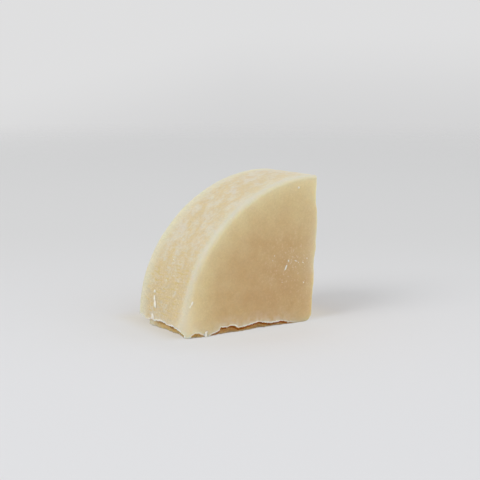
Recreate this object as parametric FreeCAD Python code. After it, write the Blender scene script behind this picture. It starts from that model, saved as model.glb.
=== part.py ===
import FreeCAD, Part
import math
import os

from FreeCAD import Vector

# Conditioner bar: a quarter of a round bar of waxy conditioner. The round bar was cast in a
# shallow mould that rounded its edges, and a knife cut it twice, through its centre.
# The quarter stands on one cut. The other cut is its upright right-hand side (+X), the flat
# quarter-round face looks towards -Y, and the moulded rim curves over the left and the top.
# Millimetres, +Z up. The origin is on the resting face, in the middle of the bar's box.

# The cast round bar. Its front edge is rounder at the foot than at the top, where it is worn
# down to a small radius.
DISC_RADIUS = 38.0
THICKNESS = 26.8
FRONT_EDGE_RADIUS_FOOT = 2.0
FRONT_EDGE_RADIUS_TOP = 0.8
BACK_EDGE_RADIUS = 4.3

# The two knife cuts: the upright one leans out a little over the right-hand side, and bows out
# where the knife wandered. Each row is (height up the cut, how far the wax stands proud of it
# at the front), and at the back it stands proud by BOW_SHARE_AT_BACK of that.
SIDE_CUT_LEAN = 2.3
SIDE_CUT_BOW = [
    (2.6, 0.0),
    (7.5, 0.14),
    (11.6, 0.45),
    (14.8, 0.18),
    (18.9, 0.6),
    (21.2, 0.57),
    (25.2, 0.75),
    (28.4, 0.53),
    (31.6, 0.0),
]
BOW_SHARE_AT_BACK = 0.4
BOW_ROOT = 0.5
CORNER_WEAR_RADIUS = 2.2

# Wax that crumbled away under the two lower edges. Each row is (distance along the edge,
# height of the break, its depth into the bar), and a height below zero leaves the edge whole.
# The front edge is measured from the right-hand corner, and the rim's edge from the front.
FRONT_FOOT_BREAKS = [
    (-3.0, -0.3, 0.3),
    (5.0, -0.1, 0.3),
    (7.2, 0.4, 0.4),
    (9.7, 1.2, 0.7),
    (12.4, 0.8, 0.7),
    (14.3, 1.3, 0.8),
    (15.8, 1.7, 1.1),
    (17.0, 1.6, 1.0),
    (18.9, 1.3, 0.6),
    (22.3, 1.0, 0.5),
    (23.1, 1.5, 0.6),
    (24.9, 1.9, 0.9),
    (25.8, 1.5, 0.8),
    (27.5, 1.8, 0.8),
    (27.9, 0.9, 0.6),
    (30.5, 0.4, 0.4),
    (31.4, -0.3, 0.3),
    (32.3, -0.3, 0.3),
    (33.4, 0.9, 0.5),
    (34.5, 1.1, 0.6),
    (36.0, -0.3, 0.3),
    (41.0, -0.3, 0.3),
]
RIM_FOOT_BREAKS = [
    (-3.0, -0.3, 0.3),
    (0.4, 0.3, 0.4),
    (1.5, 1.1, 0.7),
    (3.5, 1.9, 1.1),
    (5.5, 2.2, 1.4),
    (8.6, 2.0, 0.8),
    (10.7, 2.3, 0.9),
    (12.8, 2.2, 0.8),
    (15.0, 1.8, 0.5),
    (18.8, 1.6, 0.6),
    (20.8, 1.7, 3.0),
    (30.0, 1.7, 6.0),
]

# Form of a break: its roof dips inwards, and its wall drops steeply to the resting face
ROOF_REACH = 0.7
ROOF_DROP = 0.25
CUTTER_MARGIN = 1.5

FRONT = -THICKNESS / 2
BACK = THICKNESS / 2
TOUCHING = 0.01


def disc_section():
    """Half section of the round bar on its -X side, with its moulded back edge."""
    diagonal = math.sqrt(0.5)
    front_centre = Vector(0, FRONT, 0)
    front_corner = Vector(-DISC_RADIUS, FRONT, 0)
    rim_back = Vector(-DISC_RADIUS, BACK - BACK_EDGE_RADIUS, 0)
    back_flat_end = Vector(-DISC_RADIUS + BACK_EDGE_RADIUS, BACK, 0)
    back_centre = Vector(0, BACK, 0)
    arc_centre = Vector(-DISC_RADIUS + BACK_EDGE_RADIUS, BACK - BACK_EDGE_RADIUS, 0)
    arc_middle = arc_centre + Vector(-diagonal, diagonal, 0) * BACK_EDGE_RADIUS
    edges = [
        Part.makeLine(front_centre, front_corner),
        Part.makeLine(front_corner, rim_back),
        Part.Arc(rim_back, arc_middle, back_flat_end).toShape(),
        Part.makeLine(back_flat_end, back_centre),
        Part.makeLine(back_centre, front_centre),
    ]
    return Part.Face(Part.Wire(edges))


def quarter():
    """The section swept about the disc's axis, from the resting cut to the upright cut."""
    return disc_section().revolve(Vector(0, 0, 0), Vector(0, 1, 0), 90 + SIDE_CUT_LEAN)


def round_front_edge(bar):
    """Round the curved front edge, from its foot up to the top right-hand corner."""
    front_arcs = [
        edge
        for edge in bar.Edges
        if isinstance(edge.Curve, Part.Circle) and abs(edge.CenterOfMass.y - FRONT) < TOUCHING
    ]
    return bar.makeFillet(FRONT_EDGE_RADIUS_FOOT, FRONT_EDGE_RADIUS_TOP, front_arcs)


def wear_cut_corner(bar):
    """Round the lower right-hand corner, where the two cuts meet on the disc's axis."""
    corner_edges = [
        edge for edge in bar.Edges if math.hypot(edge.CenterOfMass.x, edge.CenterOfMass.z) < TOUCHING
    ]
    return bar.makeFillet(CORNER_WEAR_RADIUS, corner_edges)


def bow_section(across, share):
    """Outline of the bowed wax on the upright cut, at one place through the thickness."""
    lean = math.radians(SIDE_CUT_LEAN)
    up_cut = Vector(math.sin(lean), 0, math.cos(lean))
    outward = Vector(math.cos(lean), 0, -math.sin(lean))
    start = Vector(0, across, 0)
    proud = [start + up_cut * height + outward * bow * share for height, bow in SIDE_CUT_BOW]
    root = [proud[-1] - outward * BOW_ROOT, proud[0] - outward * BOW_ROOT]
    bow_curve = Part.BSplineCurve()
    bow_curve.interpolate(proud)
    edges = [
        bow_curve.toShape(),
        Part.makeLine(proud[-1], root[0]),
        Part.makeLine(root[0], root[1]),
        Part.makeLine(root[1], proud[0]),
    ]
    return Part.Wire(edges)


def bow_out_side_cut(bar):
    """Add the wax that stands proud of the flat cut."""
    bow = Part.makeLoft([bow_section(FRONT, 1), bow_section(BACK, BOW_SHARE_AT_BACK)], True, True)
    return bar.fuse(bow).removeSplitter()


def break_section(on_edge, inward, height, depth):
    """Outline of the missing wax at one place on a lower edge."""
    roof_slope = ROOF_DROP * height / (ROOF_REACH * depth)
    outline = [
        (-CUTTER_MARGIN, -CUTTER_MARGIN),
        (-CUTTER_MARGIN, height + roof_slope * CUTTER_MARGIN),
        (ROOF_REACH * depth, (1 - ROOF_DROP) * height),
        (depth, -CUTTER_MARGIN),
    ]
    points = [on_edge + inward * across + Vector(0, 0, up) for across, up in outline]
    return Part.makePolygon(points + points[:1])


def broken_wax(start, along, inward, breaks):
    """The missing wax along one lower edge, ruled from place to place."""
    sections = [
        break_section(start + along * distance, inward, height, depth)
        for distance, height, depth in breaks
    ]
    return Part.makeLoft(sections, True, True)


def conditioner_bar():
    """The quarter with its rounded edge, worn corner, bowed cut and broken lower edges."""
    bar = bow_out_side_cut(wear_cut_corner(round_front_edge(quarter())))
    left = Vector(-1, 0, 0)
    right = Vector(1, 0, 0)
    backward = Vector(0, 1, 0)
    front_foot = broken_wax(Vector(0, FRONT, 0), left, backward, FRONT_FOOT_BREAKS)
    rim_foot = broken_wax(Vector(-DISC_RADIUS, FRONT, 0), backward, right, RIM_FOOT_BREAKS)
    return bar.cut([front_foot, rim_foot])


def stand_on_origin(bar):
    """Move the bar so that the origin is at the bottom centre of its box."""
    box = bar.optimalBoundingBox(False)
    bar.translate(Vector(-box.Center.x, -box.Center.y, -box.ZMin))
    return bar


os.makedirs("parts", exist_ok=True)
bar = stand_on_origin(conditioner_bar())
bar.exportStep("parts/conditioner_bar.step")
size = bar.optimalBoundingBox(False)
print("conditioner_bar: solids", len(bar.Solids), "valid", bar.isValid(), "volume mm3", round(bar.Volume, 1))
print("box mm", [round(v, 3) for v in (size.XMin, size.YMin, size.ZMin, size.XMax, size.YMax, size.ZMax)])
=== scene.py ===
import math

import bpy
import numpy as np
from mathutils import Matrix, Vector


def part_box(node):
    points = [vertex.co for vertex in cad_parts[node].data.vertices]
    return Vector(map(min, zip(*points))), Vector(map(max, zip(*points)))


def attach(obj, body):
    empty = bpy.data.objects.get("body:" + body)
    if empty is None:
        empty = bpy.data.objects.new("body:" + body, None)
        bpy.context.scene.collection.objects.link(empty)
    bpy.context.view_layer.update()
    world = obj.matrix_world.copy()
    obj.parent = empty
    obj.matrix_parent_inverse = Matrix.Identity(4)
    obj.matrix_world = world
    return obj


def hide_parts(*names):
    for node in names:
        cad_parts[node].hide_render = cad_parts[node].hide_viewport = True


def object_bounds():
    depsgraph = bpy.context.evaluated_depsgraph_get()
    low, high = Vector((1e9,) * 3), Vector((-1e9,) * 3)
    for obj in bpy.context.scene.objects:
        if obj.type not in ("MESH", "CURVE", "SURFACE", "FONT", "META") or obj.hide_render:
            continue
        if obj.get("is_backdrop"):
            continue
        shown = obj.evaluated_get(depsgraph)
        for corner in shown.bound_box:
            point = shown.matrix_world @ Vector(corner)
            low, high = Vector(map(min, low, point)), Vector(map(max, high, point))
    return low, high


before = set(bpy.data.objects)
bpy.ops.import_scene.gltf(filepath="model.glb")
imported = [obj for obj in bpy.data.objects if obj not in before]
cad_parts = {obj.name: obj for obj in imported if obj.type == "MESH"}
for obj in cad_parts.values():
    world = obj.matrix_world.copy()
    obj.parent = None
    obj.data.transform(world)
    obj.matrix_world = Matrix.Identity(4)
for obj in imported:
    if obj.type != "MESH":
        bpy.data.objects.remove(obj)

cad_low, cad_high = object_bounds()

# ------------------------------------------------------------------------------------------
# The bar: a quarter of a round bar of waxy conditioner. It was poured in a shallow mould,
# which rounded its edges, and cut twice through its centre with a knife. It stands on one
# cut, and wax has crumbled away under its two lower edges.

MM = 0.001
bar_low, bar_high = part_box("conditioner_bar")
# The surface relief stands proud of the plain shape, and this keeps it inside the bar's box.
SKIN_ROOM = 0.07 * MM
disc_radius = bar_high.z - bar_low.z - SKIN_ROOM
axis_x = bar_low.x + SKIN_ROOM + disc_radius
front_y = bar_low.y + SKIN_ROOM
back_y = bar_high.y - SKIN_ROOM
foot_z = bar_low.z

# The moulded front edge is worn down to a smaller radius the higher it is: each row is
# (degrees up from the foot, radius in millimetres).
FRONT_EDGE_RADIUS = np.array([(0, 4.4), (3, 3.8), (7, 2.5), (12, 1.85), (90, 0.8)])
BACK_EDGE_RADIUS = 4.3 * MM
CORNER_WEAR_RADIUS = 2.2 * MM
CUT_EDGE_RADIUS = 0.35 * MM
FOOT_EDGE_RADIUS = 0.15 * MM
FOOT_EDGE_HEIGHTS = (0.5 * MM, 3 * MM)

# The side cut leans, and isn't quite flat: each row is (height, how far the wax stands proud
# of it at the front). It is flatter at the back.
SIDE_CUT_LEAN = math.radians(2.3)
SIDE_CUT_BOW = MM * np.array([
    (0.0, 0.05), (3.4, 0.11), (5.8, 0.17), (8.4, 0.20), (10.6, 0.48), (12.7, 0.40), (14.8, 0.15),
    (16.8, 0.41), (18.9, 0.66), (20.9, 0.58), (23.2, 0.75), (25.8, 0.70), (28.4, 0.55),
    (30.0, 0.26), (31.6, 0.02), (33.0, 0.02), (36.0, 0.06), (38.0, 0.10),
])
BOW_LEFT_AT_BACK = 0.4

# The rim isn't quite round: each row is (degrees up from the foot, how many millimetres it
# stands proud).
RIM_WANDER = np.array([
    (0, 0), (8, 0.01), (14, 0.06), (18, 0.11), (28, 0.09), (35, 0.04), (40, -0.06), (50, -0.07),
    (60, -0.11), (75, 0), (84, 0), (90, -0.05),
])

# Each row is (distance along the edge, height of the break, its depth). The front edge is
# measured from the right-hand corner, and the rim's edge from the front.
FRONT_FOOT_BREAKS = MM * np.array([
    (-3.0, 0.0, 0.1), (3.8, 0.05, 0.1), (5.3, 0.25, 0.15), (7.2, 0.45, 0.25), (8.0, 0.8, 0.4),
    (8.9, 1.1, 0.6), (9.7, 1.25, 0.7), (10.6, 1.1, 0.7), (12.4, 0.95, 0.7), (13.4, 1.15, 0.7),
    (14.3, 1.35, 0.8), (15.0, 1.5, 1.0), (15.8, 1.75, 1.2), (16.8, 1.7, 1.0), (18.9, 1.4, 0.6),
    (20.8, 1.1, 0.5), (22.3, 1.0, 0.5), (23.0, 1.5, 0.6), (24.1, 1.85, 0.8), (24.9, 1.95, 0.9),
    (25.8, 1.65, 0.8), (26.8, 1.75, 0.8), (27.5, 1.95, 0.8), (27.9, 1.05, 0.6), (29.5, 0.6, 0.4),
    (30.5, 0.35, 0.2), (31.1, 0.0, 0.1), (31.8, 0.1, 0.1), (32.3, 0.4, 0.3), (33.1, 0.85, 0.5),
    (33.9, 1.2, 0.7), (34.6, 1.25, 0.8), (35.3, 0.85, 0.9), (35.9, 0.25, 0.8), (36.2, 0.0, 0.1),
    (41.0, 0.0, 0.1),
])
RIM_FOOT_BREAKS = MM * np.array([
    (-1.0, 0.0, 0.4), (0.6, 0.5, 0.6), (1.5, 1.1, 1.0), (2.5, 1.55, 1.4), (3.5, 1.9, 1.6),
    (4.5, 1.95, 1.8), (5.5, 2.2, 2.0), (6.6, 2.15, 1.9), (7.6, 2.0, 1.7), (8.6, 2.0, 1.5),
    (9.7, 2.2, 1.5), (10.7, 2.25, 1.6), (12.8, 2.2, 1.4), (13.9, 2.05, 1.2), (15.0, 1.8, 1.0),
    (17.1, 1.7, 0.8), (19.3, 1.4, 1.0), (20.5, 1.7, 3.2), (23.0, 1.7, 4.5),
    (25.0, 2.2, 5.5), (26.5, 3.4, 6.0), (30.0, 3.4, 6.0),
])
BREAK_TOP = 5 * MM

# The breaks are ragged: lumps and finer crumbs make them a little higher and deeper in places.
BREAK_SQUARENESS = 2.4
BREAK_EDGE_RADIUS = 0.06 * MM
RAGGED_LUMP_SIZE = 0.9 * MM
RAGGED_CRUMB_SIZE = 0.4 * MM
RAGGED_RISE = 0.10 * MM
RAGGED_HEIGHT = 0.14 * MM
RAGGED_DEPTH = 0.15 * MM
LEAST_BREAK_HEIGHT = 0.01 * MM
LEAST_BREAK_DEPTH = 0.1 * MM
LATTICE_SIDE = 32


def lumps(points, size, seed):
    """Smooth random values from -1 to 1 that change over the given size."""
    lattice = np.random.default_rng(seed).uniform(-1, 1, (LATTICE_SIDE,) * 3)
    place = points / size + LATTICE_SIDE / 2
    whole = np.floor(place).astype(int)
    part = place - whole
    part = part * part * (3 - 2 * part)
    total = np.zeros(len(points))
    for corner in np.ndindex(2, 2, 2):
        weight = np.prod(np.where(corner, part, 1 - part), axis=1)
        cell = (whole + corner) % LATTICE_SIDE
        total += weight * lattice[cell[:, 0], cell[:, 1], cell[:, 2]]
    return total


def read(rows, place, column=1):
    """What the rows give at each place, changing evenly from one row to the next."""
    return np.interp(place, rows[:, 0], rows[:, column])


def between(value, low, high):
    """0 up to low, 1 from high on, and an even change between them."""
    return np.clip((value - low) / (high - low), 0, 1)


def places_on_bar(points):
    """How far points are left of the disc's centre, behind the front, and above the foot."""
    return axis_x - points[:, 0], points[:, 1] - front_y, points[:, 2] - foot_z


def turn_up(left, above):
    """Degrees up from the foot, about the disc's centre."""
    return np.degrees(np.arctan2(above, left))


def meet(face_a, face_b, radius):
    """Signed distance to two faces that meet in an outer edge of that radius."""
    past_a = face_a + radius
    past_b = face_b + radius
    outside = np.hypot(np.maximum(past_a, 0), np.maximum(past_b, 0))
    return outside + np.minimum(np.maximum(past_a, past_b), 0) - radius


def faces_of(points):
    """Signed distances to the rim, front, back, side cut and foot, below zero inside."""
    left, behind, above = places_on_bar(points)
    bow = read(SIDE_CUT_BOW, above)
    bow = bow * np.interp(points[:, 1], (front_y, back_y), (1, BOW_LEFT_AT_BACK))
    side = -left * math.cos(SIDE_CUT_LEAN) - above * math.sin(SIDE_CUT_LEAN) - bow
    wander = read(RIM_WANDER, turn_up(left, above)) * MM
    rim = np.hypot(left, above) - disc_radius - wander
    return rim, -behind, points[:, 1] - back_y, side, -above


def whole_quarter(points):
    """Signed distance to the quarter before any wax crumbled off it, below zero inside."""
    rim, front, back, side, foot = faces_of(points)
    left, _, above = places_on_bar(points)
    front_radius = read(FRONT_EDGE_RADIUS, turn_up(left, above)) * MM
    cast = meet(meet(rim, front, front_radius), back, BACK_EDGE_RADIUS)
    cut_radius = np.interp(above, FOOT_EDGE_HEIGHTS, (FOOT_EDGE_RADIUS, CUT_EDGE_RADIUS))
    return meet(cast, meet(side, foot, CORNER_WEAR_RADIUS), cut_radius)


def gap_under(along, across, up, breaks, points, seed):
    """Signed distance to the hollow that crumbled away under an edge, below zero in it."""
    ragged = lumps(points * (1, 1, 0.4), RAGGED_LUMP_SIZE, seed)
    ragged += 0.8 * lumps(points, RAGGED_CRUMB_SIZE, seed + 1)
    height = read(breaks, along, column=1)
    depth = read(breaks, along, column=2)
    broken = between(height, 0, 0.4 * MM)
    height += broken * (RAGGED_RISE + RAGGED_HEIGHT * ragged)
    height = np.maximum(height, LEAST_BREAK_HEIGHT)
    depth = np.maximum(depth + broken * RAGGED_DEPTH * ragged, LEAST_BREAK_DEPTH)
    roof = np.maximum(up, 0) / height
    wall = np.maximum(across, 0) / depth
    size = np.maximum(roof ** BREAK_SQUARENESS + wall ** BREAK_SQUARENESS, 1e-9)
    size = size ** (1 / BREAK_SQUARENESS)
    climb = BREAK_SQUARENESS - 1
    steepness = np.hypot((roof / size) ** climb / height, (wall / size) ** climb / depth)
    return (size - 1) / np.maximum(steepness, 0.3 / np.maximum(height, depth))


def gaps(points):
    """Signed distance to the nearer of the two broken edges, below zero in the hollow."""
    left, behind, above = places_on_bar(points)
    front = gap_under(left, behind, above, FRONT_FOOT_BREAKS, points, seed=3)
    rim = gap_under(behind, disc_radius - left, above, RIM_FOOT_BREAKS, points, seed=5)
    return np.minimum(front, rim)


def bar_field(points):
    """Signed distance to the bar as it is, below zero inside."""
    field = whole_quarter(points)
    low = points[:, 2] - foot_z < BREAK_TOP
    field[low] = meet(field[low], -gaps(points[low]), BREAK_EDGE_RADIUS)
    return field


def surface_of(field_of, grid):
    """Quads over the surface where field_of is zero: one vertex in each cell it crosses."""
    counts = [len(line) for line in grid]
    index = np.indices(counts).reshape(3, -1).T
    points = np.stack([line[index[:, axis]] for axis, line in enumerate(grid)], 1)
    field = field_of(points).reshape(counts)
    inside = field < 0
    shape = np.array(counts) - 1
    held = sum(
        inside[i:i + shape[0], j:j + shape[1], k:k + shape[2]].astype(int)
        for i, j, k in np.ndindex(2, 2, 2)
    )
    crossed = np.argwhere((held > 0) & (held < 8))
    number = np.full(shape, -1)
    number[tuple(crossed.T)] = np.arange(len(crossed))
    place = np.zeros((len(crossed), 3))
    hits = np.zeros(len(crossed))
    quads = []
    for axis in range(3):
        along, one, two = np.roll(np.eye(3, dtype=int), -axis, 0)
        for corner in (0 * one, one, two, one + two):
            start = crossed + corner
            a, b = field[tuple(start.T)], field[tuple((start + along).T)]
            cut = (a < 0) != (b < 0)
            share = np.where(cut, a / np.where(cut, a - b, 1), 0)
            place[cut] += (start + share[:, None] * along)[cut]
            hits += cut
        edges = np.argwhere(inside != np.roll(inside, -1, axis))
        edges = edges[(edges > 0).all(1) & (edges < shape).all(1)]
        around = (0 * one, one, one + two, two)
        ring = np.stack([number[tuple((edges - step).T)] for step in around], 1)
        outward = inside[tuple(edges.T)]
        quads.append(np.where(outward[:, None], ring, ring[:, ::-1]))
    place /= hits[:, None]
    vertices = [np.interp(place[:, k], np.arange(counts[k]), grid[k]) for k in range(3)]
    return np.stack(vertices, 1), np.concatenate(quads)


def slope_of(field_of, points, reach=0.04 * MM):
    """The field's slope along x, y and z at each point."""
    steps = np.eye(3) * reach
    return np.stack([field_of(points + s) - field_of(points - s) for s in steps], 1) / (2 * reach)


def lines(low, high, step, margin):
    """Even grid lines from a margin below low to a margin above high."""
    return np.arange(low - margin, high + margin, step)


# The grid is finer round the breaks. It starts where no two parts of the surface share an
# edge, so the mesh is closed.
grid = (
    lines(bar_low.x, bar_high.x, step=0.22 * MM, margin=1.10 * MM),
    lines(bar_low.y, bar_high.y, step=0.27 * MM, margin=1.24 * MM),
    np.concatenate((
        lines(bar_low.z, foot_z + 3 * MM, step=0.16 * MM, margin=1.14 * MM),
        lines(foot_z + 5.2 * MM, bar_high.z, step=0.34 * MM, margin=1.0 * MM),
    )),
)
SETTLING_PASSES = 3
SETTLING_STEP = 0.1 * MM
LEAST_SLOPE = 0.2
vertices, quads = surface_of(bar_field, grid)
for _ in range(SETTLING_PASSES):
    slope = slope_of(bar_field, vertices)
    push = -bar_field(vertices) / np.maximum((slope ** 2).sum(1), LEAST_SLOPE)
    vertices += np.clip(push, -SETTLING_STEP, SETTLING_STEP)[:, None] * slope

# Where the wax is broken, and whether a point is on the rim's side of the front corner.
left, behind, height_above = places_on_bar(vertices)
rim, front, back, side, foot = faces_of(vertices)
above_break = gaps(vertices)
buried = -whole_quarter(vertices)
near_foot = height_above < BREAK_TOP
broken = np.where(near_foot, between(buried, 0.12 * MM, 0.27 * MM), 0)
rim_side = between(rim - front, -0.5 * MM, 0.5 * MM)
rim_side = np.maximum(rim_side, between(left, 31.5 * MM, 33.5 * MM))
small_break = np.interp(left, (31 * MM, 32 * MM, 36 * MM, 37 * MM), (0, 1, 1, 0))
right_foot = 1 - between(left, 4 * MM, 8.5 * MM)
on_rim = between(rim, -1.2 * MM, 0) * (1 - broken)
on_cut = between(np.maximum(side, foot), -0.3 * MM, 0) * (1 - broken)

# Each break has a thin raised lip of dry wax along its top. It is wider on the rim, and fainter
# at the right-hand foot, over the small break by the corner and at the rim's far end.
LIP_WIDTH = 0.30 * MM
LIP_WIDTH_WAVER = 0.13 * MM
LIP_WIDER_ON_RIM = 0.12 * MM
LIP_FADE = 0.15 * MM
lip_width = LIP_WIDTH + LIP_WIDTH_WAVER * lumps(vertices, 1.2 * MM, seed=18)
lip_width += LIP_WIDER_ON_RIM * rim_side
lip = np.where(near_foot, between(lip_width - above_break, 0, LIP_FADE), 0)
lip *= 1 - between(buried, 0, 0.30 * MM)
lip *= between(height_above, 0, 0.5 * MM)
lip *= 1 - 0.5 * small_break
lip *= 1 - 0.85 * right_foot
lip *= 1 - 0.6 * rim_side * between(behind, 15.5 * MM, 18.5 * MM)

# A pale bloom spreads from each lip, and a painted glow, standing in for light through the thin edge,
# lies along the front of the side cut.
HALO_REACH = 1.1 * MM
SIDE_GLOW_REACH = 1.4 * MM
halo = np.exp(-np.maximum(above_break, 0) / HALO_REACH) * (1 - broken)
halo *= near_foot * np.clip(0.85 + 0.9 * lumps(vertices, 0.65 * MM, seed=20), 0, 1.5)
halo *= (1 - 0.5 * rim_side) * np.clip(height_above / (0.6 * MM), 0.2, 1)
halo *= 1 - 0.7 * right_foot
painted_side_glow = np.interp(height_above, (6 * MM, 14 * MM, 24 * MM, 30 * MM), (0.1, 0.8, 0.8, 0.5))
painted_side_glow *= np.exp(side / SIDE_GLOW_REACH) * between(front, -0.5 * MM, 0)

# The moulded faces ripple slightly, the rim is scuffed, the knife left drag lines across the
# cuts, and the broken wax is crumbly. The side cut's front edge is nibbled.
RIPPLE_HEIGHT = 0.04 * MM
SCUFF_HEIGHT = 0.03 * MM
DRAG_HEIGHT = 0.03 * MM
CRUMBLE_HEIGHT = 0.09 * MM
LIP_HEIGHT = 0.06 * MM
NIBBLE_DEPTH = 0.14 * MM
ripple = RIPPLE_HEIGHT * (lumps(vertices, 6 * MM, seed=11) - 0.6)
scuffs = lumps(vertices, 1.3 * MM, seed=12)
scuffs += 0.8 * lumps(vertices * (1, 0.4, 1), 0.5 * MM, seed=13)
drag = lumps(vertices * (1, 0.05, 1), 0.45 * MM, seed=14)
drag += lumps(vertices * (1, 0.2, 1), 2.5 * MM, seed=15)
crumble = 1 - 2 * np.abs(lumps(vertices, 0.7 * MM, seed=16))
crumble += 0.5 * lumps(vertices, 0.35 * MM, seed=17)
nibbles = np.maximum(lumps(vertices, 1.6 * MM, seed=19) + 0.2, 0)
nibbles *= np.exp(np.maximum(side + front, -9 * MM) / (0.5 * MM))
relief = ripple + on_rim * SCUFF_HEIGHT * scuffs + on_cut * DRAG_HEIGHT * drag
relief -= NIBBLE_DEPTH * nibbles
relief += broken * (CRUMBLE_HEIGHT * crumble - relief) + lip * LIP_HEIGHT
slope = slope_of(bar_field, vertices)
vertices += relief[:, None] * slope / np.linalg.norm(slope, axis=1)[:, None]
vertices = np.clip(vertices, bar_low, bar_high)

# A broken face is painted with shade, darkest just under its overhanging lip, and painted pale, as if
# lit, where it ends at the rim's far end and along the foot.
left, behind, height_above = places_on_bar(vertices)
break_top = np.maximum(read(RIM_FOOT_BREAKS, behind), read(FRONT_FOOT_BREAKS, left))
down_from_top = break_top - height_above
below_rim_lip = np.clip(2.4 - down_from_top / (0.5 * MM), 0, 1)
below_front_lip = np.clip(2.0 - down_from_top / (0.4 * MM), 0.38, 1)
shade_under_lip = below_front_lip + rim_side * (below_rim_lip - below_front_lip)
shade_under_lip *= 1 - 0.65 * small_break
shade_under_lip *= 1 - 0.45 * rim_side * between(-front, 9 * MM, 13 * MM)
lit_break_end = between(behind, 12.5 * MM, 17 * MM)
lit_break_end = np.maximum(lit_break_end, 1 - between(height_above, 0, 0.4 * MM)) * rim_side

# The wax is thinnest at the low front corner, and a painted glow brightens it there.
from_corner = np.hypot(disc_radius - left, behind)
corner_glow = np.exp(-(height_above / (8 * MM)) ** 2) + 0.9 * np.exp(-height_above / (0.9 * MM))
corner_glow *= np.exp(-(from_corner / (5.5 * MM)) ** 2)

# Painted glow: wax near an edge is painted paler, standing in for the light that gets through it,
# and the thick middle keeps a painted shade: (face, face, how far the pale band reaches across
# the first, how far across the second, how strong it is).
turn = turn_up(left, height_above)
front_reach = np.interp(turn, (20, 33, 55, 80), (4.8, 4.4, 5.4, 7.6)) * MM
rim_reach = np.interp(turn, (25, 45), (1.4, 2.4)) * MM
right_edge = 0.65 * np.interp(height_above, (4 * MM, 14 * MM), (0.45, 1))
PAINTED_EDGE_GLOWS = (
    (front, rim, front_reach, rim_reach, 1.0),
    (front, rim, 12.0 * MM, 0.8 * MM, 0.18),
    (back, rim, 5.3 * MM, 1.5 * MM, 0.9),
    (front, side, 2.6 * MM, 1.2 * MM, right_edge),
    (back, side, 3.2 * MM, 1.6 * MM, 0.4),
    (rim, side, 2.0 * MM, 2.0 * MM, 0.5),
    (front, foot, 2.2 * MM, 0.9 * MM, 0.35),
    (back, foot, 1.2 * MM, 1.2 * MM, 0.45),
    (rim, foot, 1.2 * MM, 1.2 * MM, 0.45),
)
shaded_core = 1 - on_rim * between(back, -8.5 * MM, -4 * MM)
for face_a, face_b, reach_a, reach_b, strength in PAINTED_EDGE_GLOWS:
    shaded_core *= 1 - strength * np.exp(np.minimum(face_b / reach_a + face_a / reach_b, 0))

# The crest where the front meets the rim is worn smooth and chalky and carries a painted highlight,
# broadest low down.
CREST_TURNS = (0, 5, 9, 13, 26, 33, 60, 90)
CREST_WIDTHS = (3.2, 2.7, 1.8, 1.1, 0.8, 1.0, 1.0, 1.1)
crest_width = np.interp(turn, CREST_TURNS, CREST_WIDTHS) * MM
crest_back = np.interp(turn, (0, 10, 40), (0.5, 0.6, 0.8)) * MM
crest_front = np.interp(turn, (0, 6, 15), (3.2, 2.0, 1.0)) * MM
worn_crest_highlight = -(np.maximum(-front - crest_back, 0) / crest_width) ** 2
worn_crest_highlight = np.exp(worn_crest_highlight + np.minimum(rim, 0) / crest_front)

# The rim is tanner at some heights than others, most of all in one patch near the crest.
# Fine white dust lies on the low rim, and in one patch on the front face.
tan_shift = np.interp(turn, (5, 10, 24, 32, 60), (0.0, 0.14, 0.24, 0.07, 0.09))
tan_shift += 0.35 * np.exp(-((-front - 3.5 * MM) / (1.5 * MM)) ** 2 - ((turn - 18) / 9) ** 2)
faces_front = np.clip(-slope[:, 1], 0, 1)
from_dust = np.hypot(left - 6 * MM, height_above - 15 * MM)
dusty = np.exp(-(from_dust / (8 * MM)) ** 2) * faces_front
dusty_rim = 0.8 * shaded_core * np.interp(height_above, (10 * MM, 20 * MM), (1.0, 0.2))
dusty += on_rim * (dusty_rim - dusty)

bar_mesh = bpy.data.meshes.new("conditioner_bar_body")
bar_mesh.from_pydata(vertices, [], quads)
bar_mesh.update()
bar_mesh.shade_smooth()
wax_marks = {
    "painted_edge_glow": 1 - shaded_core, "worn_crest_highlight": worn_crest_highlight, "faces_front": faces_front, "moulded_rim": on_rim,
    "corner_glow": corner_glow, "tan_shift": tan_shift, "dusty": dusty, "painted_side_glow": painted_side_glow,
    "dashed": np.interp(height_above, (13 * MM, 22 * MM), (1.0, 0.3)) * shaded_core,
    "speckle": np.interp(height_above, (8 * MM, 16 * MM, 26 * MM), (1.15, 0.5, 0.35)),
    "rim_side": rim_side, "broken": broken, "lit_break_end": lit_break_end,
    "lip": lip, "shade_under_lip": shade_under_lip, "halo": halo,
}
for name, values in wax_marks.items():
    mark = bar_mesh.attributes.new(name, "FLOAT", "POINT")
    mark.data.foreach_set("value", values.astype(np.float32))
bar = bpy.data.objects.new("conditioner_bar_body", bar_mesh)
bpy.context.scene.collection.objects.link(bar)


def add(tree, kind, inputs=None, **settings):
    """Adds a node, sets it up, and wires or fills in its inputs."""
    node = tree.nodes.new(kind)
    for name, value in settings.items():
        setattr(node, name, value)
    for name, value in (inputs or {}).items():
        if isinstance(value, bpy.types.NodeSocket):
            tree.links.new(value, node.inputs[name])
        else:
            node.inputs[name].default_value = value
    return node


def value_of(tree, operation, a, b=0.5, c=0.5, clamp=False):
    """One step of arithmetic on values."""
    inputs = {0: a, 1: b, 2: c}
    return add(tree, "ShaderNodeMath", inputs, operation=operation, use_clamp=clamp).outputs[0]


def blend(tree, amount, colour_a, colour_b, kind="MIX"):
    """Mixes two colours."""
    inputs = {0: amount, 6: colour_a, 7: colour_b}
    return add(tree, "ShaderNodeMix", inputs, data_type="RGBA", blend_type=kind).outputs[2]


def mark_of(tree, name):
    """A mark stored on the mesh, as a value."""
    return add(tree, "ShaderNodeAttribute", attribute_name=name).outputs["Fac"]


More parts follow.
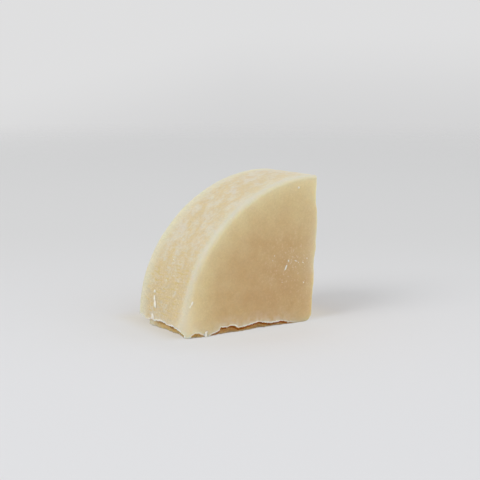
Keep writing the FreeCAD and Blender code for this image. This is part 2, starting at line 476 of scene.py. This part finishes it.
# Wax texture: soft patches a few millimetres wide, a finer mottle, fine grain, and short
# scuffs that run through the bar's thickness.
SCUFF_STRETCH = (1.0, 0.17, 1.0)
MOTTLE_FINENESS = 3.2
wax_texture = bpy.data.node_groups.new("wax_texture", "ShaderNodeTree")
for name, default in (("Patch Size mm", 3.0), ("Grain Size mm", 0.45)):
    socket = wax_texture.interface.new_socket(name, in_out="INPUT", socket_type="NodeSocketFloat")
    socket.default_value = default
for name in ("Patches", "Mottle", "Scuffs", "Grain"):
    wax_texture.interface.new_socket(name, in_out="OUTPUT", socket_type="NodeSocketFloat")
given = add(wax_texture, "NodeGroupInput").outputs
put_out = add(wax_texture, "NodeGroupOutput")
place = add(wax_texture, "ShaderNodeTexCoord").outputs["Object"]
squashed = add(wax_texture, "ShaderNodeMapping", {"Vector": place, "Scale": SCUFF_STRETCH})
patch_scale = value_of(wax_texture, "DIVIDE", 1 / MM, given["Patch Size mm"])
mottle_scale = value_of(wax_texture, "MULTIPLY", patch_scale, MOTTLE_FINENESS)
grain_scale = value_of(wax_texture, "DIVIDE", 1 / MM, given["Grain Size mm"])
for name, vector, scale, detail in (
    ("Patches", place, patch_scale, 3.0), ("Mottle", place, mottle_scale, 3.0),
    ("Scuffs", squashed.outputs[0], grain_scale, 2.0), ("Grain", place, grain_scale, 2.0),
):
    noise = add(wax_texture, "ShaderNodeTexNoise", {"Vector": vector, "Scale": scale, "Detail": detail})
    wax_texture.links.new(noise.outputs["Fac"], put_out.inputs[name])

# Tan painted shade for the thick middle of the faces, and pale painted glow for their edges.
SHADED_CORE_WAX = (0.60, 0.398, 0.187, 1)
GLOWING_EDGE_WAX = (0.82, 0.72, 0.41, 1)
# The rim's pale colour along its edges is painted glow.
RIM_EDGE_GLOW = (0.72, 0.68, 0.495, 1)
RIM_WAX = (0.70, 0.63, 0.485, 1)
RIM_TAN = (0.67, 0.53, 0.30, 1)
RIM_DASH = (0.61, 0.478, 0.21, 1)
# The crest's painted highlight, with a painted shaded copy for where it faces the front.
CREST_HIGHLIGHT_WAX = (0.655, 0.61, 0.49, 1)
CREST_SHADED_FRONT = (0.605, 0.585, 0.485, 1)
LIP_WAX = (0.97, 0.92, 0.80, 1)
DRY_WAX = (0.85, 0.80, 0.70, 1)
# Painted glow along the side cut.
SIDE_GLOW_WAX = (0.66, 0.62, 0.52, 1)
# The broken faces' colours: painted shade under the lip, and painted light lower down and at the ends.
BREAK_SHADED = (0.36, 0.11, 0.004, 1)
BREAK_LIT = (0.78, 0.50, 0.20, 1)
RIM_BREAK_SHADED = (0.33, 0.15, 0.003, 1)
RIM_BREAK_LIT = (0.76, 0.50, 0.20, 1)
LIT_BREAK_END = (0.74, 0.62, 0.39, 1)

wax = bpy.data.materials.new("conditioner_wax")
wax.use_nodes = True
tree = wax.node_tree
shader = tree.nodes["Principled BSDF"]
texture = add(tree, "ShaderNodeGroup", node_tree=wax_texture)
patches, mottle, scuffs, grain = (texture.outputs[k] for k in ("Patches", "Mottle", "Scuffs", "Grain"))

# The cut faces: tan in the thick middle, where the shade is painted, and paler in uneven bands along
# their edges, partly painted glow and partly random patches.
UNEVENNESS = 0.5
uneven = value_of(tree, "MULTIPLY_ADD", patches, UNEVENNESS, -UNEVENNESS / 2)
glow_and_patches = value_of(tree, "ADD", mark_of(tree, "painted_edge_glow"), uneven, clamp=True)
face_colour = blend(tree, glow_and_patches, SHADED_CORE_WAX, GLOWING_EDGE_WAX)

# The rim: dusty cream, painted paler along its edges as glow, with crisp tan blotches made of all three
# textures, and short tan dashes low down.
BLOTCH_LEVEL = -2.84
BLOTCHES_FROM = ((patches, 3.9), (mottle, 2.1))
BLOTCHES_FROM_SCUFFS = 1.5
DASH_CRISPNESS = 8.0
DASH_LEVEL = -4.3
speckled = value_of(tree, "MULTIPLY", scuffs, mark_of(tree, "speckle"))
tan = value_of(tree, "ADD", mark_of(tree, "tan_shift"), BLOTCH_LEVEL)
for pattern, strength in BLOTCHES_FROM:
    tan = value_of(tree, "MULTIPLY_ADD", pattern, strength, tan)
tan = value_of(tree, "MULTIPLY_ADD", speckled, BLOTCHES_FROM_SCUFFS, tan, clamp=True)
rim_colour = blend(tree, glow_and_patches, blend(tree, tan, RIM_WAX, RIM_TAN), RIM_EDGE_GLOW)
dashes = value_of(tree, "MULTIPLY_ADD", scuffs, DASH_CRISPNESS, DASH_LEVEL, clamp=True)
dashes = value_of(tree, "MULTIPLY", dashes, mark_of(tree, "dashed"))
rim_colour = blend(tree, dashes, rim_colour, RIM_DASH)
colour = blend(tree, mark_of(tree, "moulded_rim"), face_colour, rim_colour)
# The crest is painted as a highlight, and its front-facing side as a shaded copy of it.
crest_highlight_colour = blend(tree, mark_of(tree, "faces_front"), CREST_HIGHLIGHT_WAX, CREST_SHADED_FRONT)
colour = blend(tree, mark_of(tree, "worn_crest_highlight"), colour, crest_highlight_colour)

# Fine roughness shows as light and dark grain: faint on the faces, strongest low on the rim,
# and worn off the crest. The thin corner at the foot has a painted glow.
GRAIN_SHARE = 0.6
FACE_GRAIN = 0.27
RIM_GRAIN = 0.32
CREST_WORN = 0.7
PLAIN_SHADE = 1.006
CORNER_GLOW = 0.17
rough_grain = value_of(tree, "MULTIPLY", grain, GRAIN_SHARE)
rough_grain = value_of(tree, "MULTIPLY_ADD", scuffs, GRAIN_SHARE, rough_grain)
shade = value_of(tree, "MULTIPLY_ADD", mark_of(tree, "corner_glow"), CORNER_GLOW, PLAIN_SHADE)
rim_speckle = value_of(tree, "MULTIPLY", mark_of(tree, "moulded_rim"), mark_of(tree, "speckle"))
roughness_seen = value_of(tree, "MULTIPLY_ADD", rim_speckle, RIM_GRAIN, FACE_GRAIN)
off_crest = value_of(tree, "MULTIPLY_ADD", mark_of(tree, "worn_crest_highlight"), -CREST_WORN, 1.0)
roughness_seen = value_of(tree, "MULTIPLY", roughness_seen, off_crest)
centred_grain = value_of(tree, "SUBTRACT", rough_grain, GRAIN_SHARE)
shade = value_of(tree, "MULTIPLY_ADD", centred_grain, roughness_seen, shade)
shades = add(tree, "ShaderNodeCombineColor", {0: shade, 1: shade, 2: shade}).outputs[0]
colour = blend(tree, 1.0, colour, shades, "MULTIPLY")

# Dry white dust in specks, the bloom round the breaks, and the painted glow along the side cut.
SPECK_CRISPNESS = 6.0
SPECK_LEVEL = -3.5
specks = value_of(tree, "MULTIPLY_ADD", grain, SPECK_CRISPNESS, SPECK_LEVEL, clamp=True)
specks = value_of(tree, "MULTIPLY", specks, mark_of(tree, "dusty"))
for bloom, strength, tint in (
    (specks, 0.45, DRY_WAX), (mark_of(tree, "halo"), 0.59, DRY_WAX),
    (mark_of(tree, "painted_side_glow"), 0.70, SIDE_GLOW_WAX),
):
    colour = blend(tree, value_of(tree, "MULTIPLY", bloom, strength), colour, tint)

# The broken wax: fresh and tan, with painted shade darkest under the lip, and the pale lip above it.
BREAK_GRAIN = 0.6
BREAK_CONTRAST = 1.2
rise = value_of(tree, "MULTIPLY_ADD", grain, BREAK_GRAIN, -BREAK_GRAIN / 2)
rise = value_of(tree, "ADD", mark_of(tree, "shade_under_lip"), rise)
rise = value_of(tree, "MULTIPLY", rise, BREAK_CONTRAST, clamp=True)
front_break = blend(tree, rise, BREAK_LIT, BREAK_SHADED)
rim_break = blend(tree, rise, RIM_BREAK_LIT, RIM_BREAK_SHADED)
break_colour = blend(tree, mark_of(tree, "rim_side"), front_break, rim_break)
break_colour = blend(tree, mark_of(tree, "lit_break_end"), break_colour, LIT_BREAK_END)
colour = blend(tree, mark_of(tree, "broken"), colour, break_colour)
colour = blend(tree, mark_of(tree, "lip"), colour, LIP_WAX)
tree.links.new(colour, shader.inputs["Base Color"])

# Satin wax that light soaks into. It is duller where it is broken.
FACE_ROUGHNESS = 0.36
BROKEN_ROUGHER = 0.4
GRAIN_ROUGHER = 0.25
GRAIN_DEPTH = 0.06 * MM
dullness = value_of(tree, "MULTIPLY_ADD", mark_of(tree, "broken"), BROKEN_ROUGHER, FACE_ROUGHNESS)
dullness = value_of(tree, "MULTIPLY_ADD", grain, GRAIN_ROUGHER, dullness)
tree.links.new(dullness, shader.inputs["Roughness"])
bump = add(tree, "ShaderNodeBump", {"Height": rough_grain, "Strength": 0.35, "Distance": GRAIN_DEPTH})
tree.links.new(bump.outputs[0], shader.inputs["Normal"])
shader.inputs["Subsurface Weight"].default_value = 1.0
shader.inputs["Subsurface Radius"].default_value = (1.0, 0.8, 0.5)
shader.inputs["Subsurface Scale"].default_value = 3.0 * MM
shader.inputs["IOR"].default_value = 1.44
bar_mesh.materials.append(wax)

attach(bar, "root")
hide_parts("conditioner_bar")

# ------------------------------------------------------------------------------------------
# Dry shavings and crumbs of the same wax: small white flakes that the knife left clinging to
# the faces, and the loose bits along the broken edges.


def on_front(x, z):
    """A point on the front face, from its distance left of the disc's centre line."""
    return axis_x - x * MM, front_y, foot_z + z * MM


def on_rim_face(y, z):
    """A point on the rim at that depth and height."""
    return axis_x - math.sqrt(disc_radius ** 2 - (z * MM) ** 2), y * MM, foot_z + z * MM


def vector_of(tree, operation, a, b=(0.0, 0.0, 0.0)):
    """One step of arithmetic on vectors, as a value if it is a length or a dot product."""
    node = add(tree, "ShaderNodeVectorMath", {0: a, 1: b}, operation=operation)
    return node.outputs["Value" if operation in ("LENGTH", "DOT_PRODUCT") else "Vector"]


def resized(tree, vector, times):
    """A vector made that many times as long."""
    inputs = {0: vector, "Scale": times}
    return add(tree, "ShaderNodeVectorMath", inputs, operation="SCALE").outputs["Vector"]


# Each row is (place, the way the flake points, its length, its width), in millimetres.
UPRIGHT = (0.05, 0.0, 1.0)
UP_RIGHT = (0.5, 0.0, 1.0)
ACROSS = (0.3, 0.6, 0.3)
DOWN_ACROSS = (0.5, 0.0, -0.25)
DOWN_RIM = (-0.1, -0.5, -1.0)
FLAKES = (
    (on_front(4.4, 35.0), ACROSS, 0.65, 0.55), (on_front(7.4, 16.5), UPRIGHT, 0.6, 0.35),
    (on_front(8.2, 14.8), UP_RIGHT, 1.4, 0.42),
    (on_front(5.1, 16.3), DOWN_ACROSS, 0.8, 0.3), (on_front(2.9, 15.7), DOWN_ACROSS, 0.5, 0.27),
    (on_front(1.6, 16.6), UPRIGHT, 0.4, 0.28), (on_front(2.6, 10.4), UPRIGHT, 0.4, 0.33),
    (on_front(4.2, 15.8), ACROSS, 0.3, 0.2), (on_front(11.7, 18.2), ACROSS, 0.3, 0.2),
    (on_front(12.2, 17.0), ACROSS, 0.25, 0.2), (on_front(9.3, 11.2), ACROSS, 0.25, 0.2),
    (on_front(24.6, 28.9), ACROSS, 0.3, 0.2), (on_front(31.8, 0.3), UPRIGHT, 2.3, 0.6),
    (on_front(31.5, 1.3), UP_RIGHT, 0.5, 0.35), (on_front(35.6, 8.8), UP_RIGHT, 1.1, 0.5),
    (on_front(36.1, 8.1), UP_RIGHT, 0.8, 0.4),
    (on_rim_face(3.2, 9.1), DOWN_RIM, 0.9, 0.75), (on_rim_face(2.75, 7.4), DOWN_RIM, 2.0, 0.7),
    (on_rim_face(2.0, 6.05), DOWN_RIM, 2.2, 0.9), (on_rim_face(2.8, 2.75), DOWN_RIM, 1.6, 0.95),
    (on_rim_face(-4.0, 14.0), ACROSS, 0.35, 0.2),
    (on_rim_face(-1.0, 17.5), ACROSS, 0.5, 0.2),
)
FLAKE_THICKNESS = 0.7
LOOSE_BITS = 60
SMALLEST_BIT = (0.15, 0.12, 0.10)
LARGEST_BIT = (0.40, 0.28, 0.22)
chance = np.random.default_rng(81)
edge_bits = chance.choice(np.flatnonzero(lip > 0.7), LOOSE_BITS, replace=False)
bits_point = chance.normal(size=(LOOSE_BITS, 3))
bit_sizes = chance.uniform(SMALLEST_BIT, LARGEST_BIT, (LOOSE_BITS, 3))
flake_sizes = [(length, width, FLAKE_THICKNESS * width) for _, _, length, width in FLAKES]
places = np.array([flake[0] for flake in FLAKES] + list(vertices[edge_bits]))
points_along = np.array([flake[1] for flake in FLAKES] + list(bits_point))
sizes = MM * np.concatenate((flake_sizes, bit_sizes))

# The spots are drawn onto the bar's surface, where the flakes will lie.
DRAWING_PASSES = 6
for _ in range(DRAWING_PASSES):
    places -= bar_field(places)[:, None] * slope_of(bar_field, places)
outward = slope_of(whole_quarter, places)
spots_mesh = bpy.data.meshes.new("wax_crumb_spots")
spots_mesh.from_pydata(places, [], [])
for name, values in (("outward", outward), ("points_along", points_along), ("size", sizes)):
    mark = spots_mesh.attributes.new(name, "FLOAT_VECTOR", "POINT")
    mark.data.foreach_set("vector", values.astype(np.float32).ravel())
spots = bpy.data.objects.new("wax_crumb_spots", spots_mesh)
bpy.context.scene.collection.objects.link(spots)

CRUMB_SHADED = (0.80, 0.75, 0.61, 1)
CRUMB_WHITE = (0.96, 0.94, 0.87, 1)
dry_wax = bpy.data.materials.new("dry_wax")
dry_wax.use_nodes = True
tree = dry_wax.node_tree
shader = tree.nodes["Principled BSDF"]
texture = add(tree, "ShaderNodeGroup", node_tree=wax_texture)
dry_colour = blend(tree, texture.outputs["Grain"], CRUMB_SHADED, CRUMB_WHITE)
tree.links.new(dry_colour, shader.inputs["Base Color"])
shader.inputs["Roughness"].default_value = 0.8

# One lumpy ball is squashed into a flake at each spot, a little different each time.
scatter = bpy.data.node_groups.new("wax_crumbs", "GeometryNodeTree")
for name, kind, default in (
    ("Geometry", "Geometry", None), ("Size", "Float", 1.0), ("Lumpiness", "Float", 0.6),
    ("Seed", "Int", 7), ("Wax", "Material", None),
):
    socket = scatter.interface.new_socket(name, in_out="INPUT", socket_type="NodeSocket" + kind)
    if default is not None:
        socket.default_value = default
scatter.interface.new_socket("Geometry", in_out="OUTPUT", socket_type="NodeSocketGeometry")
given = add(scatter, "NodeGroupInput").outputs


def spot_value(name):
    """A direction or size stored on the spots."""
    node = add(scatter, "GeometryNodeInputNamedAttribute", {"Name": name}, data_type="FLOAT_VECTOR")
    return node.outputs["Attribute"]


ball = add(scatter, "GeometryNodeMeshUVSphere", {"Segments": 8, "Rings": 5, "Radius": 0.5})
lumpy = add(
    scatter, "ShaderNodeTexNoise", {"Scale": 2.4, "Detail": 1.0, "W": given["Seed"]},
    noise_dimensions="4D",
)
centred = vector_of(scatter, "SUBTRACT", lumpy.outputs["Color"], (0.5, 0.5, 0.5))
moved = resized(scatter, centred, given["Lumpiness"])
crumb = add(scatter, "GeometryNodeSetPosition", {"Geometry": ball.outputs["Mesh"], "Offset": moved})
turned = add(
    scatter, "FunctionNodeAxesToRotation",
    {"Primary Axis": spot_value("outward"), "Secondary Axis": spot_value("points_along")},
    primary_axis="Z", secondary_axis="X",
)
vary = add(
    scatter, "FunctionNodeRandomValue",
    {"Min": (0.8, 0.8, 0.8), "Max": (1.2, 1.2, 1.2), "Seed": given["Seed"]},
    data_type="FLOAT_VECTOR",
)
varied = vector_of(scatter, "MULTIPLY", spot_value("size"), vary.outputs[0])
placed = add(scatter, "GeometryNodeInstanceOnPoints", {
    "Points": given["Geometry"], "Instance": crumb.outputs[0],
    "Rotation": turned.outputs[0], "Scale": resized(scatter, varied, given["Size"]),
})
real = add(scatter, "GeometryNodeRealizeInstances", {0: placed.outputs[0]})
waxed = add(scatter, "GeometryNodeSetMaterial", {"Geometry": real.outputs[0], "Material": given["Wax"]})
add(scatter, "NodeGroupOutput", {"Geometry": waxed.outputs[0]})

scattering = spots.modifiers.new("wax_crumbs", "NODES")
scattering.node_group = scatter
sockets = {
    item.name: item.identifier for item in scatter.interface.items_tree if item.in_out == "INPUT"
}
for name, value in (("Size", 1.0), ("Lumpiness", 0.6), ("Seed", 7), ("Wax", dry_wax)):
    scattering[sockets[name]] = value
graph = bpy.context.evaluated_depsgraph_get()
crumbs_mesh = bpy.data.meshes.new_from_object(spots.evaluated_get(graph))
bpy.data.objects.remove(spots)
crumbs = bpy.data.objects.new("wax_crumbs", crumbs_mesh)
bpy.context.scene.collection.objects.link(crumbs)
crumb_vertices = np.empty(len(crumbs_mesh.vertices) * 3, np.float32)
crumbs_mesh.vertices.foreach_get("co", crumb_vertices)
crumb_vertices = np.clip(crumb_vertices.reshape(-1, 3), bar_low, bar_high)
crumbs_mesh.vertices.foreach_set("co", crumb_vertices.astype(np.float32).ravel())
crumbs_mesh.update()
crumbs_mesh.shade_smooth()
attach(crumbs, "root")

# ------------------------------------------------------------------------------------------
# The table: a plain pale sweep of paper. Close to the bar it takes light and shadow, with a painted
# glow by the bar's foot, and far off it fades into the pale backdrop.

TABLE_RADIUS = 3.0
TABLE_SIDES = 96
FADE_STARTS = 0.30
FADE_ENDS = 1.2
PAPER_NEAR = (0.762, 0.758, 0.764, 1)
PAPER_FAR = (0.699, 0.693, 0.686, 1)
AWAY = (0.538, 0.843, 0.0)
AWAY_NEAR = -0.07
AWAY_FAR = 0.16


def seen_directly(tree):
    """1 for rays that the camera, a reflection or a clear part sees, and 0 for light."""
    path = add(tree, "ShaderNodeLightPath").outputs
    mirrored = value_of(tree, "ADD", path["Is Glossy Ray"], path["Is Transmission Ray"])
    return value_of(tree, "ADD", path["Is Camera Ray"], mirrored, clamp=True)


def smooth_change(tree, value, low, high, at_low=0.0, at_high=1.0):
    """Changes smoothly from one amount to another as the value goes from low to high."""
    inputs = {0: value, 1: low, 2: high, 3: at_low, 4: at_high}
    return add(tree, "ShaderNodeMapRange", inputs, interpolation_type="SMOOTHSTEP").outputs[0]


around = np.linspace(0, 2 * math.pi, TABLE_SIDES, endpoint=False)
circle = np.stack((TABLE_RADIUS * np.cos(around), TABLE_RADIUS * np.sin(around), 0 * around), 1)
table_mesh = bpy.data.meshes.new("table")
table_mesh.from_pydata(circle, [], [tuple(range(TABLE_SIDES))])
table = bpy.data.objects.new("table", table_mesh)
bpy.context.scene.collection.objects.link(table)

paper = bpy.data.materials.new("pale_paper")
paper.use_nodes = True
tree = paper.node_tree
shader = tree.nodes["Principled BSDF"]
place = add(tree, "ShaderNodeTexCoord").outputs["Object"]
farther = smooth_change(tree, vector_of(tree, "DOT_PRODUCT", place, AWAY), AWAY_NEAR, AWAY_FAR)
tree.links.new(blend(tree, farther, PAPER_NEAR, PAPER_FAR), shader.inputs["Base Color"])
shader.inputs["Roughness"].default_value = 0.9
shader.inputs["Specular IOR Level"].default_value = 0.2

# Painted light: beside the front and the rim the paper glows, for the camera and in reflections only,
# in place of the light that would come through the thin wax at the foot, so it is hardly shaded; by the
# rim the glow is a warmer, darker tint. The share of it fades away from the bar, is a little less by
# the side cut, and runs out behind the bar.
PAINTED_FOOT_GLOW = (0.705, 0.697, 0.685, 1)
PAINTED_RIM_GLOW = (0.665, 0.628, 0.56, 1)
FOOT_GLOW_REACH = 14 * MM
FOOT_GLOW_SHARE = 0.78
SIDE_CUT_SHARE = 0.87
bar_middle = (bar_low + bar_high) / 2
bar_half = (bar_high - bar_low) / 2
beside = vector_of(tree, "ABSOLUTE", vector_of(tree, "SUBTRACT", place, bar_middle))
beside = vector_of(tree, "SUBTRACT", beside, (bar_half.x, bar_half.y, 1))
from_bar = vector_of(tree, "LENGTH", vector_of(tree, "MAXIMUM", beside, (0, 0, 0)))
across = add(tree, "ShaderNodeSeparateXYZ", {0: place}).outputs
share = smooth_change(tree, from_bar, 0.0, FOOT_GLOW_REACH, FOOT_GLOW_SHARE, 0.0)
for part_lit in (
    smooth_change(tree, across["X"], bar_high.x - 5 * MM, bar_high.x + 2 * MM, 1.0, SIDE_CUT_SHARE),
    smooth_change(tree, across["Y"], bar_high.y, bar_high.y + 12 * MM, 1.0, 0.0),
    seen_directly(tree),
):
    share = value_of(tree, "MULTIPLY", share, part_lit)
by_rim = smooth_change(tree, across["X"], bar_low.x - 6 * MM, bar_low.x + 1 * MM)
past_corner = smooth_change(tree, across["Y"], bar_low.y, bar_low.y + 5 * MM)
by_rim = value_of(tree, "MULTIPLY", by_rim, past_corner)
glow = add(tree, "ShaderNodeEmission", {"Color": blend(tree, by_rim, PAINTED_FOOT_GLOW, PAINTED_RIM_GLOW)})
paper_and_painted_glow = add(tree, "ShaderNodeMixShader", {0: share, 1: shader.outputs[0], 2: glow.outputs[0]})
fade = smooth_change(tree, vector_of(tree, "LENGTH", place), FADE_STARTS, FADE_ENDS)
clear = add(tree, "ShaderNodeBsdfTransparent")
mixed = add(tree, "ShaderNodeMixShader", {0: fade, 1: paper_and_painted_glow.outputs[0], 2: clear.outputs[0]})
tree.links.new(mixed.outputs[0], tree.nodes["Material Output"].inputs["Surface"])
table_mesh.materials.append(paper)
table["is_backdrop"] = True

# ------------------------------------------------------------------------------------------
# The light: even daylight from all round, and one broad soft window on the left. The
# backdrop the camera sees is pale grey, a little darker low down.

DAYLIGHT = (0.985, 1.0, 1.02, 1)
BRIGHTER_TOWARD = (0.16, -0.20, 0.28)
DAYLIGHT_STRENGTH = 0.60
TOWARD_WINDOW_SIDE = (-0.843, 0.538, 0.0)
BACKDROP_TILT = 0.25
BACKDROP_LOW = -0.20
BACKDROP_HIGH = 0.05
BACKDROP_BLUE = 1.006
BACKDROP_SHADES = (
    (0.0, 0.675), (0.35, 0.655), (0.60, 0.650), (0.78, 0.695), (0.92, 0.735), (1.0, 0.740),
)
world = bpy.data.worlds.new("daylight")
bpy.context.scene.world = world
world.use_nodes = True
tree = world.node_tree
direction = add(tree, "ShaderNodeTexCoord").outputs["Generated"]
daylight = tree.nodes["Background"]
daylight.inputs["Color"].default_value = DAYLIGHT
brighter = vector_of(tree, "DOT_PRODUCT", direction, BRIGHTER_TOWARD)
tree.links.new(value_of(tree, "ADD", brighter, DAYLIGHT_STRENGTH), daylight.inputs["Strength"])

sideways = vector_of(tree, "DOT_PRODUCT", direction, TOWARD_WINDOW_SIDE)
sideways = value_of(tree, "MAXIMUM", sideways, 0.0)
rise = add(tree, "ShaderNodeSeparateXYZ", {0: direction}).outputs["Z"]
rise = value_of(tree, "MULTIPLY_ADD", sideways, BACKDROP_TILT, rise)
steps = add(tree, "ShaderNodeMapRange", {0: rise, 1: BACKDROP_LOW, 2: BACKDROP_HIGH})
ramp = add(tree, "ShaderNodeValToRGB", {0: steps.outputs[0]})
ramp.color_ramp.interpolation = "B_SPLINE"
stops = ramp.color_ramp.elements
for number, (position, shade) in enumerate(BACKDROP_SHADES):
    stop = stops[number] if number < 2 else stops.new(position)
    stop.position = position
    stop.color = (shade, shade, shade * BACKDROP_BLUE, 1)
backdrop = add(tree, "ShaderNodeBackground", {"Color": ramp.outputs[0]})
seen = add(
    tree, "ShaderNodeMixShader",
    {0: seen_directly(tree), 1: daylight.outputs[0], 2: backdrop.outputs[0]},
)
tree.links.new(seen.outputs[0], tree.nodes["World Output"].inputs["Surface"])

WINDOW_WATTS = 12.5
WINDOW_SIZE = 1.1
WINDOW_DISTANCE = 2.0
toward_window = Vector((-0.76, -0.10, 0.64)).normalized()
window_light = bpy.data.lights.new("window_light", "AREA")
window_light.shape = "DISK"
window_light.size = WINDOW_SIZE
window_light.energy = WINDOW_WATTS
window = bpy.data.objects.new("window_light", window_light)
window.location = toward_window * WINDOW_DISTANCE
window.rotation_euler = toward_window.to_track_quat("Z", "Y").to_euler()
bpy.context.scene.collection.objects.link(window)

# ------------------------------------------------------------------------------------------
# The camera: a portrait lens 26 cm from the bar, on its left front, a few centimetres above
# the table and looking slightly down.

CAMERA_TURN = math.radians(-32.54)
CAMERA_RISE = math.radians(9.22)
CAMERA_DISTANCE = 258.0 * MM
LENS_LENGTH = 75
SENSOR_WIDTH = 36
AIM_HEIGHT = 19 * MM
AIM_LEFT = 19 * MM
AIM_ASIDE = 4.68 * MM
AIM_ABOVE = 2.03 * MM
back = Vector((
    math.sin(CAMERA_TURN) * math.cos(CAMERA_RISE),
    -math.cos(CAMERA_TURN) * math.cos(CAMERA_RISE),
    math.sin(CAMERA_RISE),
))
right = Vector((math.cos(CAMERA_TURN), math.sin(CAMERA_TURN), 0))
looked_at = Vector((axis_x - AIM_LEFT, 0, AIM_HEIGHT))
looked_at += AIM_ASIDE * right + AIM_ABOVE * back.cross(right)
lens = bpy.data.cameras.new("camera")
lens.lens = LENS_LENGTH
lens.sensor_width = SENSOR_WIDTH
lens.clip_start = 0.01
lens.clip_end = 20
camera = bpy.data.objects.new("camera", lens)
camera.location = looked_at + back * CAMERA_DISTANCE
camera.rotation_euler = back.to_track_quat("Z", "Y").to_euler()
bpy.context.scene.collection.objects.link(camera)
bpy.context.scene.camera = camera

bpy.context.scene.view_settings.view_transform = "Standard"

shown_low, shown_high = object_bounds()
sizes = {"cad": [list(cad_low), list(cad_high)], "visual": [list(shown_low), list(shown_high)]}
